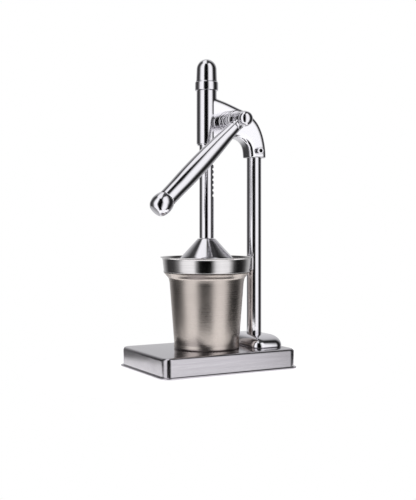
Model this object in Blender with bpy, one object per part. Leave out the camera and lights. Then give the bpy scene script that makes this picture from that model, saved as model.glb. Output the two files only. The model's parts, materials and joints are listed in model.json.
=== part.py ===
"""Hand citrus press with a rack and pinion lever.

A pressed steel base carries one column. The column carries a cast head whose sleeve
guides a toothed rod. The lever turns a pinion that lifts or presses the rod, and the
bell on the rod squeezes the fruit on a perforated cone over a loose juice cup.

Frame: metres, +Z up, front at -Y. The sizes below are measured from the middle of the
base on the floor. The finished model is then moved so that the origin is on the floor
under the middle of the whole object, which the lever makes a little wider than its base.
"""
import math

import bmesh
import bpy
from mathutils import Matrix, Vector

MM = 0.001
GAP = 0.3 * MM                    # kept between pieces that touch

# Base
BASE_LENGTH, BASE_DEPTH = 180 * MM, 130 * MM      # over the flange
FLANGE_WIDTH, FLANGE_THICK = 3 * MM, 2 * MM
FLANGE_Z = 1.0 * MM               # the rubber feet lift the flange this much
BASE_TOP = 24.2 * MM
BASE_CORNER = 13 * MM
BASE_WALL = 1.5 * MM
TOP_ROUND = 3.5 * MM
PLATE_Z, PLATE_THICK = 2.2 * MM, 1.5 * MM
FOOT_X, FOOT_Y, FOOT_R = 74 * MM, 51 * MM, 8 * MM
CHANNEL_HALF, CHANNEL_THICK = 32 * MM, 2.5 * MM
CHANNEL_LENGTH, CHANNEL_LIP = 160 * MM, 12 * MM
PLATE_SCREW_X, PLATE_SCREW_Y = 62 * MM, 38 * MM

# Column
COLUMN_X, COLUMN_R, COLUMN_WALL = 64.5 * MM, 9 * MM, 1.7 * MM
SADDLE_X, SADDLE_HALF_X, SADDLE_HALF_Y = 63 * MM, 21 * MM, 41 * MM
SADDLE_TOP, SADDLE_CORNER = 38 * MM, 13 * MM
TIE_R = 4 * MM                    # the bolt that ties the column to the base

# Head
ROD_X, ROD_R = -2 * MM, 8.75 * MM
SLEEVE_R, SLEEVE_BORE = 12.1 * MM, 10.4 * MM
SLEEVE_BOTTOM, SLEEVE_TOP = 268 * MM, 332 * MM
HEAD_HALF = 11.6 * MM             # half the thickness of the arm
COVER_SEAT = 11.2 * MM            # spot face behind the arm for the gear cover
ARM_ROUND = 4.5 * MM              # rounding along the arm's edges
SOCKET_BOTTOM = 253.5 * MM
COLUMN_TOP = 270 * MM
CROSS_BOLT_Z, CROSS_BOLT_R = 262 * MM, 2.5 * MM

# Rack and pinion
MODULE = 2 * MM
PINION_TEETH = 14
PITCH_R = MODULE * PINION_TEETH / 2
RACK_LINE = 6 * MM                # pitch line, measured from the rod's axis
RACK_ADDENDUM, RACK_DEDENDUM = 1.5 * MM, 2.3 * MM
BACKLASH = 0.5 * MM
PRESSURE_ANGLE = math.radians(20)
PINION_X, PINION_Z = ROD_X + RACK_LINE + PITCH_R, 294.4 * MM
PINION_HALF = 6.5 * MM
CHAMBER_R = PITCH_R + MODULE + 0.6 * MM
RACK_GAPS_BELOW, RACK_GAPS_ABOVE = 14, 1          # tooth gaps either side of the pinion

# Shaft and lever
SHAFT_R = 5 * MM
BARREL_R, BARREL_FRONT = 12.6 * MM, -39 * MM
LEVER_Y, HUB_R, HUB_HALF = -50 * MM, 9 * MM, 7.4 * MM
LEVER_ANGLE = math.radians(224)   # direction of the lever at rest, from +X towards +Z
LEVER_LENGTH = 155 * MM
FERRULE_START, TUBE_START, KNOB_START = 10.2 * MM, 14.2 * MM, 134 * MM

# Rod ends
ROD_BOTTOM, ROD_STUD_TOP = 155.3 * MM, 350 * MM
CAP_BAND_TOP, CAP_TOP = 342.2 * MM, 370 * MM
CAP_BAND_R, CAP_R = 13.9 * MM, 13 * MM

# Cup and strainer, both on the rod's axis
CUP_BOTTOM = BASE_TOP + GAP
CUP_RIM = 114.6 * MM
BOWL_SEAT, BOWL_LIP = CUP_RIM + GAP, 133.2 * MM
CONE_HOLES = 9

# Sides of a turned piece
FINE, MEDIUM, COARSE = 36, 24, 16


def material(name, colour, roughness, metallic):
    mat = bpy.data.materials.new(name)
    mat.use_nodes = True
    shader = mat.node_tree.nodes["Principled BSDF"]
    shader.inputs["Base Color"].default_value = (*colour, 1)
    shader.inputs["Roughness"].default_value = roughness
    shader.inputs["Metallic"].default_value = metallic
    mat.diffuse_color = (*colour, 1)
    return mat


def add_object(name, bm, mat=None, smooth=35):
    bmesh.ops.recalc_face_normals(bm, faces=bm.faces)
    mesh = bpy.data.meshes.new(name)
    bm.to_mesh(mesh)
    bm.free()
    mesh.shade_smooth()
    mesh.set_sharp_from_angle(angle=math.radians(smooth))
    obj = bpy.data.objects.new(name, mesh)
    bpy.context.scene.collection.objects.link(obj)
    if mat:
        mesh.materials.append(mat)
    return obj


def bridge(bm, ring_a, ring_b):
    """Join two rings of points; either may be a single point on the axis."""
    count = max(len(ring_a), len(ring_b))
    for i in range(count):
        j = (i + 1) % count
        corners = [ring_a[i % len(ring_a)], ring_a[j % len(ring_a)],
                   ring_b[j % len(ring_b)], ring_b[i % len(ring_b)]]
        bm.faces.new(list(dict.fromkeys(corners)))


def axis_matrix(origin, direction):
    turn = Vector((0, 0, 1)).rotation_difference(Vector(direction))
    return Matrix.Translation(origin) @ turn.to_matrix().to_4x4()


def turned_mesh(profile, origin, direction, segments):
    """Spin a closed outline of (radius, height) points round an axis. A side of the
    outline that lies on the axis leaves no face."""
    bm = bmesh.new()
    place = axis_matrix(origin, direction)
    rings = []
    for radius, height in profile:
        count = segments if radius > 1e-6 else 1
        ring = []
        for i in range(count):
            a = 2 * math.pi * i / segments
            point = Vector((radius * math.cos(a), radius * math.sin(a), height))
            ring.append(bm.verts.new(place @ point))
        rings.append(ring)
    for ring_a, ring_b in zip(rings, rings[1:] + rings[:1]):
        if len(ring_a) > 1 or len(ring_b) > 1:
            bridge(bm, ring_a, ring_b)
    return bm


def turned(name, profile, mat=None, origin=(0, 0, 0), direction=(0, 0, 1), segments=MEDIUM):
    """A turned piece whose object origin sits on its own axis."""
    bm = turned_mesh(profile, (0, 0, 0), direction, segments)
    obj = add_object(name, bm, mat)
    obj.location = origin
    return obj


def rod(name, radius, start, end, mat=None, segments=COARSE, origin=(0, 0, 0),
        direction=(0, 0, 1)):
    profile = [(0, start), (radius, start), (radius, end), (0, end)]
    return turned(name, profile, mat, origin, direction, segments)


def washer(name, inner, outer, start, end, mat, segments=COARSE, origin=(0, 0, 0),
           direction=(0, 0, 1)):
    profile = [(inner, start), (outer, start), (outer, end), (inner, end)]
    return turned(name, profile, mat, origin, direction, segments)


def rounded_ring(half_x, half_y, corner, z, steps=5):
    """Points of a rectangle with round corners, counter-clockwise from above."""
    points = []
    for k, (sx, sy) in enumerate(((1, 1), (-1, 1), (-1, -1), (1, -1))):
        for i in range(steps + 1):
            a = math.pi / 2 * (k + i / steps)
            points.append((sx * (half_x - corner) + corner * math.cos(a),
                           sy * (half_y - corner) + corner * math.sin(a), z))
    return points


def lofted(name, rings, mat, origin=(0, 0, 0)):
    """Skin a stack of equal rings and close both ends."""
    bm = bmesh.new()
    loops = [[bm.verts.new(p) for p in ring] for ring in rings]
    for loop_a, loop_b in zip(loops, loops[1:]):
        bridge(bm, loop_a, loop_b)
    bm.faces.new(loops[0])
    bm.faces.new(loops[-1])
    obj = add_object(name, bm, mat)
    obj.location = origin
    return obj


def extruded(name, outline, start, end, mat=None, origin=(0, 0, 0)):
    """Extrude an (x, z) outline along Y."""
    bm = bmesh.new()
    front = [bm.verts.new((x, start, z)) for x, z in outline]
    back = [bm.verts.new((x, end, z)) for x, z in outline]
    bridge(bm, front, back)
    bm.faces.new(front)
    bm.faces.new(back)
    obj = add_object(name, bm, mat)
    obj.location = origin
    return obj


def block(name, low, high, mat=None, origin=(0, 0, 0)):
    outline = [(low[0], low[2]), (high[0], low[2]), (high[0], high[2]), (low[0], high[2])]
    return extruded(name, outline, low[1], high[1], mat, origin)


def combine(target, tools, operation):
    """Cut with, or join on, all the tools in one step."""
    group = bpy.data.collections.new(f"{operation.lower()} {target.name}")
    bpy.context.scene.collection.children.link(group)
    for tool in tools:
        tool.hide_render = True
        tool.display_type = 'WIRE'
        group.objects.link(tool)
    step = target.modifiers.new(operation.title(), 'BOOLEAN')
    step.operation = operation
    step.operand_type = 'COLLECTION'
    step.collection = group


def cut(target, *tools):
    combine(target, tools, 'DIFFERENCE')


def weld(target, *tools):
    combine(target, tools, 'UNION')


def smooth_curve(points, steps=2):
    """Catmull-Rom curve through the points."""
    ends = [points[0], *points, points[-1]]
    curve = []
    for p0, p1, p2, p3 in zip(ends, ends[1:], ends[2:], ends[3:]):
        for i in range(steps):
            t = i / steps
            curve.append(tuple(
                b + t * (c - a) / 2 + t * t * (a - 2.5 * b + 2 * c - d / 2)
                + t ** 3 * (-a + 3 * b - 3 * c + d) / 2
                for a, b, c, d in zip(p0, p1, p2, p3)))
    curve.append(points[-1])
    return curve


def inset_outline(points, distance):
    """Move each side of a closed clockwise outline inwards by the same distance."""
    moved = []
    for before, here, after in zip(points[-1:] + points, points, points[1:] + points[:1]):
        d1 = (Vector(here) - Vector(before)).normalized()
        d2 = (Vector(after) - Vector(here)).normalized()
        n1, n2 = Vector((d1.y, -d1.x)), Vector((d2.y, -d2.x))
        moved.append(tuple(Vector(here) + (n1 + n2) * distance / (1 + n1.dot(n2))))
    return moved


def hexagon(name, across_flats, start, end, mat, origin, direction=(0, 0, 1)):
    profile = [(0, start), (across_flats / math.sqrt(3), start),
               (across_flats / math.sqrt(3), end), (0, end)]
    return turned(name, profile, mat, origin, direction, segments=6)


def make_base(chrome, steel, rubber):
    body_x = BASE_LENGTH / 2 - FLANGE_WIDTH
    body_y = BASE_DEPTH / 2 - FLANGE_WIDTH
    body_corner = BASE_CORNER - FLANGE_WIDTH

    def inset_ring(inset, z):
        return rounded_ring(body_x - inset, body_y - inset, body_corner - inset, z)

    rings = [inset_ring(BASE_WALL, FLANGE_Z)]
    inner_top = BASE_TOP - BASE_WALL
    rings.insert(0, inset_ring(BASE_WALL, inner_top - TOP_ROUND / 2))
    rings.insert(0, inset_ring(BASE_WALL + TOP_ROUND / 2, inner_top))
    rings += [inset_ring(-FLANGE_WIDTH, FLANGE_Z),
              inset_ring(-FLANGE_WIDTH, FLANGE_Z + FLANGE_THICK),
              inset_ring(-0.6 * MM, FLANGE_Z + FLANGE_THICK),
              inset_ring(0, FLANGE_Z + FLANGE_THICK + 0.8 * MM)]
    for i in range(5):
        a = math.pi / 2 * i / 4
        rings.append(inset_ring(TOP_ROUND * (1 - math.cos(a)),
                                BASE_TOP - TOP_ROUND * (1 - math.sin(a))))
    shell = lofted("base_shell", rings, chrome)
    cut(shell, rod("cut_shell_tie", TIE_R + 2 * GAP, 10 * MM, 40 * MM, origin=(COLUMN_X, 0, 0)))

    web_top = inner_top - GAP
    lip_bottom = PLATE_Z + PLATE_THICK + GAP
    leg, lip = CHANNEL_HALF, CHANNEL_HALF + CHANNEL_LIP
    thick = CHANNEL_THICK
    section = [(-lip, lip_bottom), (-leg + thick, lip_bottom), (-leg + thick, web_top - thick),
               (leg - thick, web_top - thick), (leg - thick, lip_bottom), (lip, lip_bottom),
               (lip, lip_bottom + thick), (leg, lip_bottom + thick), (leg, web_top),
               (-leg, web_top), (-leg, lip_bottom + thick), (-lip, lip_bottom + thick)]
    half = CHANNEL_LENGTH / 2
    channel = lofted("base_channel", [[(x, y, z) for y, z in section] for x in (-half, half)],
                     steel)

    plate = lofted("bottom_plate", [
        rounded_ring(body_x - BASE_WALL - GAP, body_y - BASE_WALL - GAP,
                     body_corner - BASE_WALL - GAP, z) for z in
        (PLATE_Z, PLATE_Z + PLATE_THICK)], steel)

    screw_r = 1.7 * MM
    screw_holes, foot_holes = [], []
    for sx, side in ((-1, "left"), (1, "right")):
        for sy, end in ((-1, "front"), (1, "back")):
            spot = (sx * PLATE_SCREW_X, sy * PLATE_SCREW_Y, 0)
            name = f"plate_screw_{end}_{side}"
            turned(name, [(0, 0.7 * MM), (2.6 * MM, 0.7 * MM), (3.4 * MM, 1.3 * MM),
                          (3.4 * MM, PLATE_Z - GAP), (screw_r, PLATE_Z - GAP),
                          (screw_r, 9 * MM), (0, 9 * MM)], steel, spot, segments=COARSE - 6)
            screw_holes.append(rod(f"cut_{name}", screw_r + GAP, 1 * MM, 10 * MM, origin=spot,
                                   segments=10))

            spot = (sx * FOOT_X, sy * FOOT_Y, 0)
            neck, plate_top = 3.7 * MM, PLATE_Z + PLATE_THICK
            turned(f"rubber_foot_{end}_{side}", [
                (0, 0), (FOOT_R - 0.6 * MM, 0), (FOOT_R, 0.6 * MM), (FOOT_R, PLATE_Z - GAP),
                (neck, PLATE_Z - GAP), (neck, plate_top + GAP), (5.2 * MM, plate_top + GAP),
                (4 * MM, 7.2 * MM), (0, 7.2 * MM)], rubber, spot, segments=COARSE - 4)
            foot_holes.append(rod(f"cut_foot_{end}_{side}", neck + GAP, 2 * MM, 6 * MM,
                                  origin=spot, segments=COARSE - 4))
    cut(plate, *screw_holes, *foot_holes)
    cut(channel, *screw_holes,
        rod("cut_channel_tie", TIE_R + GAP, 10 * MM, 30 * MM, origin=(COLUMN_X, 0, 0)))


def make_column(chrome, steel):
    rings = []
    side_top = BASE_TOP + 1.5 * MM
    rise = SADDLE_TOP - side_top
    rings.append(rounded_ring(SADDLE_HALF_X, SADDLE_HALF_Y, SADDLE_CORNER, BASE_TOP + GAP))
    for i in range(6):
        a = math.pi / 2 * i / 5
        inset = rise * 0.8 * (1 - math.cos(a))
        rings.append(rounded_ring(SADDLE_HALF_X - inset, SADDLE_HALF_Y - 2.2 * inset,
                                  SADDLE_CORNER - inset, side_top + rise * math.sin(a)))
    saddle = lofted("column_saddle", rings, chrome, origin=(SADDLE_X, 0, 0))
    seat = BASE_TOP + 5 * MM
    spot = (COLUMN_X, 0, 0)
    cut(saddle, rod("cut_saddle_socket", COLUMN_R + GAP, seat, 60 * MM, origin=spot, segments=MEDIUM),
        rod("cut_saddle_tie", TIE_R + GAP, 15 * MM, 60 * MM, origin=spot))

    tube_bottom, inner = seat + GAP, COLUMN_R - COLUMN_WALL
    tube = washer("column_tube", inner, COLUMN_R, tube_bottom, COLUMN_TOP, chrome, MEDIUM, spot)
    cross = dict(origin=(COLUMN_X, 0, CROSS_BOLT_Z), direction=(0, 1, 0), segments=12)
    cross_hole = rod("cut_cross_hole", CROSS_BOLT_R + GAP, -30 * MM, 30 * MM, **cross)
    cut(tube, cross_hole)
    washer("column_plug", TIE_R + GAP, inner - GAP, tube_bottom, 48 * MM, steel, COARSE, spot)

    washer_top = BASE_TOP - BASE_WALL - 2 * GAP - CHANNEL_THICK
    washer("column_washer", TIE_R + GAP, 8.5 * MM, washer_top - 1.6 * MM, washer_top, steel,
           COARSE, spot)
    head_top = washer_top - 1.6 * MM - GAP
    bolt = hexagon("column_bolt", 13 * MM, head_top - 5.3 * MM, head_top, steel, spot)
    weld(bolt, rod("join_tie_shank", TIE_R, head_top - 2 * MM, 46 * MM, origin=spot))
    return cross_hole


def make_head(chrome, steel, brass, cross_hole):
    outer = smooth_curve([(x * MM, z * MM) for x, z in (
        (1, 324.4), (18, 320), (36, 313.8), (52, 307.5), (64, 297.8), (71, 286),
        (74.8, 274), (76.6, 263), (77, 253.5))])
    inner = smooth_curve([(x * MM, z * MM) for x, z in (
        (52.8, 253.5), (52, 263), (49, 270), (43, 275), (34, 276.5), (24, 274), (14, 271.4),
        (1, 269.6))])
    end_x = ROD_X - 6 * MM            # the arm's end is buried in the sleeve
    outline = [(end_x, outer[0][1] + MM)] + outer + inner + [(end_x, inner[-1][1])]
    above_socket = [z - SOCKET_BOTTOM for x, z in outline]
    rings, steps = [], 3
    for i in range(-steps, steps + 2):
        a = math.pi / 2 * (abs(i) if i < 1 else i - 1) / steps
        inset = ARM_ROUND * (1 - math.cos(a))
        y = HEAD_HALF - ARM_ROUND * (1 - math.sin(a))
        ring = [(x, -y if i < 1 else y, SOCKET_BOTTOM + inset / 5 if low < 0.1 * MM else z)
                for (x, z), low in zip(inset_outline(outline, inset), above_socket)]
        rings.append(ring)
    arm = lofted("head_casting", rings, chrome)

    axis = dict(origin=(ROD_X, 0, 0), segments=MEDIUM)
    pinion = dict(origin=(PINION_X, 0, PINION_Z), direction=(0, 1, 0))
    sleeve = turned("join_sleeve", [
        (0, SLEEVE_BOTTOM), (SLEEVE_R - 0.6 * MM, SLEEVE_BOTTOM),
        (SLEEVE_R, SLEEVE_BOTTOM + 0.6 * MM), (SLEEVE_R, SLEEVE_TOP), (0, SLEEVE_TOP)], **axis)
    barrel_profile = [(0, -5 * MM), (BARREL_R, -5 * MM)]
    step, ring_at = 0.6 * MM, (-17 * MM, -25 * MM, -33 * MM)
    radius = BARREL_R
    for y in ring_at:
        barrel_profile += [(radius, y), (radius - step, y - step),
                           (radius - step / 2, y - 2 * step)]
        radius -= step / 2
    barrel_profile += [(radius, BARREL_FRONT + step), (radius - step, BARREL_FRONT),
                       (0, BARREL_FRONT)]
    barrel = turned("join_barrel", barrel_profile, **pinion)
    weld(arm, sleeve, barrel)

    shaft_bush_r = SHAFT_R + 2.2 * MM
    holes = [
        rod("cut_rod_bore", SLEEVE_BORE, 200 * MM, 400 * MM, **axis),
        rod("cut_shaft_bore", shaft_bush_r + GAP, -80 * MM, 1 * MM, **pinion),
        rod("cut_cover_seat", 22.4 * MM, COVER_SEAT, 30 * MM, **pinion, segments=MEDIUM),
        rod("cut_gear_chamber", CHAMBER_R, -PINION_HALF - 1 * MM, 40 * MM, **pinion, segments=MEDIUM),
        rod("cut_column_socket", COLUMN_R + GAP, 200 * MM, COLUMN_TOP + GAP,
            origin=(COLUMN_X, 0, 0), segments=MEDIUM),
        cross_hole]

    bush = ROD_R + GAP, SLEEVE_BORE - GAP
    lip_bottom = SLEEVE_BOTTOM - GAP
    turned("guide_bush_lower", [
        (bush[0], lip_bottom - 1.4 * MM), (SLEEVE_R - 1.4 * MM, lip_bottom - 1.4 * MM),
        (SLEEVE_R - 1 * MM, lip_bottom - 1 * MM), (SLEEVE_R - 1 * MM, lip_bottom),
        (bush[1], lip_bottom), (bush[1], SLEEVE_BOTTOM + 9 * MM),
        (bush[0], SLEEVE_BOTTOM + 9 * MM)], chrome, **axis)
    washer("guide_bush_upper", *bush, SLEEVE_TOP - 17 * MM, SLEEVE_TOP - 0.5 * MM, brass, **axis)

    plate_y, plate_thick = COVER_SEAT + GAP, 2.5 * MM
    cover = turned("gear_cover", [
        (0, plate_y + 8 * MM), (7 * MM, plate_y + 8 * MM), (8.6 * MM, plate_y + 6.4 * MM),
        (9.2 * MM, plate_y + plate_thick), (21.4 * MM, plate_y + plate_thick),
        (22 * MM, plate_y + plate_thick - 0.6 * MM), (22 * MM, plate_y),
        (shaft_bush_r + GAP, plate_y), (shaft_bush_r + GAP, plate_y + 5.5 * MM),
        (0, plate_y + 5.5 * MM)], chrome, **pinion)
    screw_holes = []
    for number, degrees in enumerate((80, 0, -80), 1):
        a = math.radians(degrees)
        spot = (PINION_X + 19.4 * MM * math.cos(a), 0, PINION_Z + 19.4 * MM * math.sin(a))
        place = dict(origin=spot, direction=(0, 1, 0), segments=10)
        top = plate_y + plate_thick + GAP
        turned(f"cover_screw_{number}", [
            (0, 4 * MM), (1.2 * MM, 4 * MM), (1.2 * MM, top), (2.3 * MM, top),
            (2.3 * MM, top + 0.9 * MM), (1.5 * MM, top + 1.5 * MM), (0, top + 1.5 * MM)],
            steel, **place)
        screw_holes.append(rod(f"cut_cover_screw_{number}", 1.5 * MM, 3.5 * MM, 20 * MM,
                               **place))
    cut(cover, *screw_holes)
    cut(arm, *holes, *screw_holes)

    washer("shaft_bush_rear", SHAFT_R + GAP, shaft_bush_r, PINION_HALF + 2 * GAP,
           plate_y + 5 * MM, brass, **pinion)
    turned("shaft_bush_front", [
        (SHAFT_R + GAP, BARREL_FRONT - 1.5 * MM), (9 * MM, BARREL_FRONT - 1.5 * MM),
        (9 * MM, BARREL_FRONT - GAP), (shaft_bush_r, BARREL_FRONT - GAP),
        (shaft_bush_r, BARREL_FRONT + 18 * MM), (SHAFT_R + GAP, BARREL_FRONT + 18 * MM)],
        chrome, **pinion, segments=COARSE)

    cross = dict(origin=(COLUMN_X, 0, CROSS_BOLT_Z), direction=(0, 1, 0))
    face = HEAD_HALF + GAP
    bolt = turned("cross_bolt", [
        (0, -face - 4.4 * MM), (4 * MM, -face - 4.4 * MM), (4.5 * MM, -face - 3.9 * MM),
        (4.5 * MM, -face), (CROSS_BOLT_R, -face), (CROSS_BOLT_R, face + 5.5 * MM),
        (0, face + 5.5 * MM)], steel, **cross, segments=COARSE)
    cut(bolt, hexagon("cut_hex_recess", 4 * MM, -face - 10 * MM, -face - 2 * MM, None, **cross))
    nut = hexagon("cross_nut", 8 * MM, face, face + 4 * MM, steel, **cross)
    cut(nut, rod("cut_nut_thread", CROSS_BOLT_R + GAP, 0, 30 * MM, **cross, segments=12))


def involute_tooth(tip_r, root_r):
    """Half a tooth, root to tip, as (radius, half angle) pairs."""
    base_r = PITCH_R * math.cos(PRESSURE_ANGLE)
    pitch_half = (math.pi * MODULE / 2 - 0.7 * BACKLASH) / 2 / PITCH_R
    inv_pitch = math.tan(PRESSURE_ANGLE) - PRESSURE_ANGLE
    half = [(root_r, pitch_half + inv_pitch)]
    for i in range(5):
        radius = base_r + (tip_r - base_r) * i / 4
        angle = math.acos(base_r / radius)
        half.append((radius, pitch_half + inv_pitch - (math.tan(angle) - angle)))
    return half


def make_pinion(steel):
    half = involute_tooth(PITCH_R + MODULE, PITCH_R - RACK_ADDENDUM - 0.4 * MM)
    outline = []
    for tooth in range(PINION_TEETH):
        middle = math.pi + 2 * math.pi * tooth / PINION_TEETH
        flank = [(r, middle - a) for r, a in half] + [(r, middle + a) for r, a in half[::-1]]
        outline += [(r * math.cos(a), r * math.sin(a)) for r, a in flank]
    centre = (PINION_X, 0, PINION_Z)
    gear = extruded("pinion_gear", outline, -PINION_HALF, PINION_HALF, steel, centre)
    along = dict(origin=centre, direction=(0, 1, 0), segments=COARSE)

    thread_r = 3.5 * MM
    hub_front = LEVER_Y - HUB_HALF
    shaft = turned("pinion_shaft", [
        (0, hub_front - 5 * MM), (thread_r, hub_front - 5 * MM), (thread_r, hub_front + 1 * MM),
        (SHAFT_R, hub_front + 1 * MM), (SHAFT_R, COVER_SEAT + 4.8 * MM),
        (0, COVER_SEAT + 4.8 * MM)], steel, **along)

    key_half, key_low, key_high = 1.5 * MM, SHAFT_R - 1.5 * MM, SHAFT_R + 1.6 * MM
    key_y = PINION_HALF - 1 * MM
    block("pinion_key", (-key_half, -key_y, key_low), (key_half, key_y, key_high), steel,
          centre)
    wide = key_half + GAP
    keyway = block("cut_shaft_key", (-wide, -key_y - GAP, key_low - GAP),
                   (wide, key_y + GAP, 2 * SHAFT_R), origin=centre)
    cut(gear, rod("cut_gear_bore", SHAFT_R + GAP, -20 * MM, 20 * MM, **along),
        block("cut_gear_key", (-wide, -PINION_HALF - MM, 0),
              (wide, PINION_HALF + MM, key_high + GAP), origin=centre))
    washer("thrust_washer", SHAFT_R + GAP, 8.6 * MM, BARREL_FRONT - 3 * MM,
           BARREL_FRONT - 1.8 * MM, steel, **along)
    return shaft, keyway, thread_r


def make_lever(chrome, steel, shaft, keyway, thread_r):
    centre = Vector((PINION_X, LEVER_Y, PINION_Z))
    along = Vector((math.cos(LEVER_ANGLE), 0, math.sin(LEVER_ANGLE)))
    across = Vector((-along.z, 0, along.x))
    spigot = 5 * MM

    hub = turned("lever_hub", [
        (0, -HUB_HALF), (HUB_R - 0.6 * MM, -HUB_HALF), (HUB_R, -HUB_HALF + 0.6 * MM),
        (HUB_R, HUB_HALF - 0.6 * MM), (HUB_R - 0.6 * MM, HUB_HALF), (0, HUB_HALF)],
        chrome, origin=centre, direction=(0, 1, 0))
    neck = turned("join_hub_neck", [
        (0, 6 * MM), (6.6 * MM, 6 * MM), (6 * MM, FERRULE_START - GAP),
        (spigot, FERRULE_START - GAP), (spigot, TUBE_START + 14 * MM),
        (0, TUBE_START + 14 * MM)], origin=centre, direction=along, segments=COARSE)
    weld(hub, neck)
    pin_r = 1.5 * MM
    pin_hole = rod("cut_hub_pin", pin_r + GAP, -20 * MM, 20 * MM, origin=centre,
                   direction=across, segments=8)
    cut(hub, rod("cut_hub_bore", SHAFT_R + GAP, -20 * MM, 20 * MM, origin=centre,
                 direction=(0, 1, 0)), pin_hole)
    cut(shaft, keyway, pin_hole)
    rod("hub_pin", pin_r, -HUB_R + GAP, HUB_R - GAP, steel, 8, centre, across)

    face, dome_r, dome_depth = -HUB_HALF - GAP, 8.4 * MM, 6.4 * MM
    dome = [(0, face), (dome_r, face)]
    for i in range(5):
        a = math.pi / 2 * i / 4
        dome.append((dome_r * math.cos(a) if i < 4 else 0,
                     face - 1.2 * MM - dome_depth * math.sin(a)))
    nut = turned("hub_cap_nut", dome, chrome, centre, (0, 1, 0), 20)
    cut(nut, rod("cut_dome_thread", thread_r + GAP, face - 5.4 * MM, face + 5 * MM,
                 origin=centre, direction=(0, 1, 0)))

    lever = dict(origin=centre, direction=along, segments=MEDIUM)
    turned("lever_ferrule", [
        (spigot + GAP, FERRULE_START), (6.5 * MM, FERRULE_START),
        (7 * MM, FERRULE_START + 0.7 * MM), (7 * MM, TUBE_START - MM),
        (6.5 * MM, TUBE_START - GAP),
        (spigot + GAP, TUBE_START - GAP)], chrome, **lever)
    grip_end = KNOB_START - GAP
    turned("lever_tube", [(r * MM, z * MM) for r, z in (
        (6.6, TUBE_START / MM), (7, TUBE_START / MM + 0.4), (7.9, 28), (8.7, 38), (9.8, 52),
        (10.7, 68), (11, 84), (10.9, 102), (10.4, 116), (10.2, grip_end / MM),
        (8.9, grip_end / MM), (9.5, 105), (9.5, 83), (7.4, 52), (5.3, TUBE_START / MM + 15),
        (5.3, TUBE_START / MM))], chrome, **lever)
    start, end = KNOB_START / MM, LEVER_LENGTH / MM
    turned("lever_knob", [(r * MM, z * MM) for r, z in (
        (0, start - 12), (6.6, start - 12), (7.2, start - 0.4), (7.2, start), (10.3, start),
        (11.2, start + 2.5), (12, start + 5.5), (12.35, start + 8.5), (12.35, start + 11),
        (11.7, end - 6), (10.4, end - 2.8), (8, end - 0.4), (7.3, end), (0, end))],
        chrome, **lever)


def make_rack(chrome, steel):
    axis = dict(origin=(ROD_X, 0, 0), segments=MEDIUM)
    bore, screw_r = 3.2 * MM, 2.7 * MM
    shoulder = SLEEVE_TOP + 2 * MM
    rack = turned("rack_rod", [
        (0, ROD_BOTTOM + 16 * MM), (bore - GAP, ROD_BOTTOM + 16 * MM), (bore - GAP, ROD_BOTTOM),
        (ROD_R, ROD_BOTTOM), (ROD_R, shoulder), (6 * MM, shoulder), (6 * MM, ROD_STUD_TOP),
        (0, ROD_STUD_TOP)], chrome, **axis)
    pitch = math.pi * MODULE
    slope = math.tan(PRESSURE_ANGLE)
    space = pitch / 2 + 0.3 * BACKLASH
    deep, shallow = RACK_LINE - RACK_DEDENDUM, ROD_R + 2 * MM
    narrow = space / 2 - (RACK_LINE - deep) * slope
    wide = space / 2 + (shallow - RACK_LINE) * slope
    bm = bmesh.new()
    for k in range(-RACK_GAPS_BELOW, RACK_GAPS_ABOVE + 1):
        z = PINION_Z + k * pitch
        outline = [(deep, z - narrow), (shallow, z - wide), (shallow, z + wide),
                   (deep, z + narrow)]
        front = [bm.verts.new((px, -ROD_R - MM, pz)) for px, pz in outline]
        back = [bm.verts.new((px, ROD_R + MM, pz)) for px, pz in outline]
        bridge(bm, front, back)
        bm.faces.new(front)
        bm.faces.new(back)
    teeth = add_object("cut_teeth", bm)
    teeth.location = (ROD_X, 0, 0)
    low = PINION_Z - (RACK_GAPS_BELOW + 0.5) * pitch
    high = PINION_Z + (RACK_GAPS_ABOVE + 0.5) * pitch
    tip = RACK_LINE + RACK_ADDENDUM
    flat = block("cut_tooth_tips", (ROD_X + tip, -10 * MM, low), (ROD_X + 20 * MM, 10 * MM, high))
    cut(rack, flat, teeth)

    seat = SLEEVE_TOP + GAP
    dome = [(CAP_R, CAP_BAND_TOP + 0.7 * MM)]
    waist, spring = CAP_R - 1 * MM, CAP_TOP - 12.5 * MM
    for i in range(6):
        a = math.pi / 2 * i / 5
        dome.append((waist * math.cos(a) if i < 5 else 0,
                     spring + (CAP_TOP - spring) * math.sin(a)))
    cap = turned("rod_cap", [
        (0, seat), (CAP_BAND_R - 0.8 * MM, seat), (CAP_BAND_R, seat + 0.8 * MM),
        (CAP_BAND_R, CAP_BAND_TOP - 0.4 * MM), (CAP_R - 0.3 * MM, CAP_BAND_TOP), *dome],
        chrome, **axis)
    cut(cap, rod("cut_cap_counterbore", ROD_R + GAP, 300 * MM, shoulder + GAP, **axis),
        rod("cut_cap_thread", 6 * MM + GAP, 300 * MM, ROD_STUD_TOP + MM, **axis))

    bell_top = ROD_BOTTOM - GAP
    turned("press_bell", [(r * MM, z * MM) for r, z in (
        (3.2, bell_top / MM), (9.2, bell_top / MM), (10.9, 154.4), (12.4, 153), (30.4, 133.2),
        (37.8, 120.4), (38.8, 119.4), (38.8, 118), (37.4, 118), (36.4, 119.8), (28.8, 132.4),
        (11.4, 151.6), (3.2, 151.6))], chrome, origin=(ROD_X, 0, 0), segments=FINE)
    washer("bell_washer", bore, 7 * MM, 150.1 * MM, 151.3 * MM, steel,
           origin=(ROD_X, 0, 0))
    head_top = 149.8 * MM
    screw = hexagon("bell_screw", 8 * MM, head_top - 3.4 * MM, head_top, steel,
                    origin=(ROD_X, 0, 0))
    weld(screw, rod("join_bell_shank", screw_r - 0.1 * MM, head_top - MM,
                    ROD_BOTTOM + 14 * MM, origin=(ROD_X, 0, 0), segments=12))


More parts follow.
